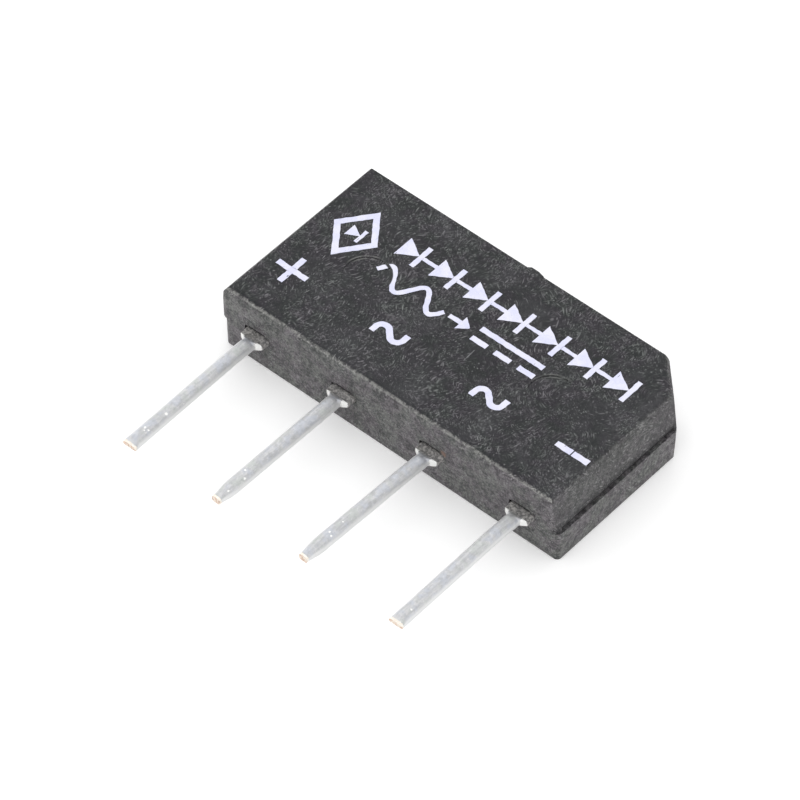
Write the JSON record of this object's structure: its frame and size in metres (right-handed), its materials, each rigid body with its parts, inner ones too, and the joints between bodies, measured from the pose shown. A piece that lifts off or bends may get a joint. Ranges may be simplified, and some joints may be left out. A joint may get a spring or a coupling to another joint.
{
  "type": "bridge rectifier",
  "caption": "Flat single in-line bridge rectifier: a moulded body with one sloping corner on pressed wire leads, turning alternating into direct current.",
  "frame": {"origin": "centre of the body's back face, on which the part lies", "axes": "+X along the body from the plus lead to the minus lead, -Y the way the leads point, +Z out of the marked face"},
  "size_m": [0.0195, 0.018, 0.0036],
  "materials": {
    "moulding": "dark grey fibre-filled moulding compound",
    "tinned_wire": "tinned copper, satin",
    "silicon": "silicon, polished",
    "copper": "bare copper strip",
    "solder": "dull soft solder"
  },
  "bodies": {
    "root": {"body": "moulding", "lead_plus": "tinned_wire", "lead_ac_1": "tinned_wire", "lead_ac_2": "tinned_wire", "lead_minus": "tinned_wire", "chip_ac1_plus": "silicon", "chip_ac2_plus": "silicon", "chip_minus_ac1": "silicon", "chip_minus_ac2": "silicon", "clip_plus": "copper", "clip_minus": "copper", "solder_ac1_plus_lead": "solder", "solder_ac1_plus_clip": "solder", "solder_ac2_plus_lead": "solder", "solder_ac2_plus_clip": "solder", "solder_minus_ac1_lead": "solder", "solder_minus_ac1_clip": "solder", "solder_minus_ac2_lead": "solder", "solder_minus_ac2_clip": "solder", "solder_clip_plus": "solder", "solder_clip_minus": "solder"}
  },
  "joints": []
}
